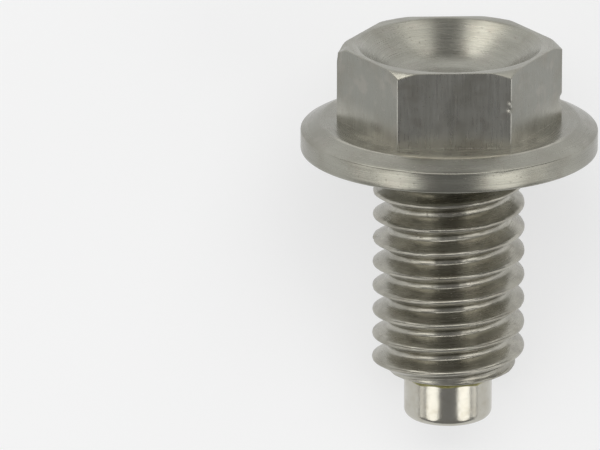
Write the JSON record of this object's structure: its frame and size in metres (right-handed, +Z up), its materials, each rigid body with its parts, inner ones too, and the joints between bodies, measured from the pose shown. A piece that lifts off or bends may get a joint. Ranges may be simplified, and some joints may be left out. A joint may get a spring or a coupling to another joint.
{
  "type": "oil drain plug",
  "caption": "Flanged hexagon-head oil drain plug with a dished head, a coarse right-hand thread and a magnet set in its tip; it seals and drains an oil sump.",
  "frame": {"origin": "middle of the lying plug's footprint, on the floor", "axes": "+Z up; the plug lies on its flange rim and its last thread with its head towards +Y and its magnet towards -Y"},
  "size_m": [0.0216, 0.0298, 0.0208],
  "materials": {
    "stainless_steel": "turned and milled stainless steel, satin",
    "nickel_plate": "bright nickel plate"
  },
  "bodies": {
    "root": {"plug_body": "stainless_steel", "magnet": "nickel_plate"}
  },
  "joints": []
}
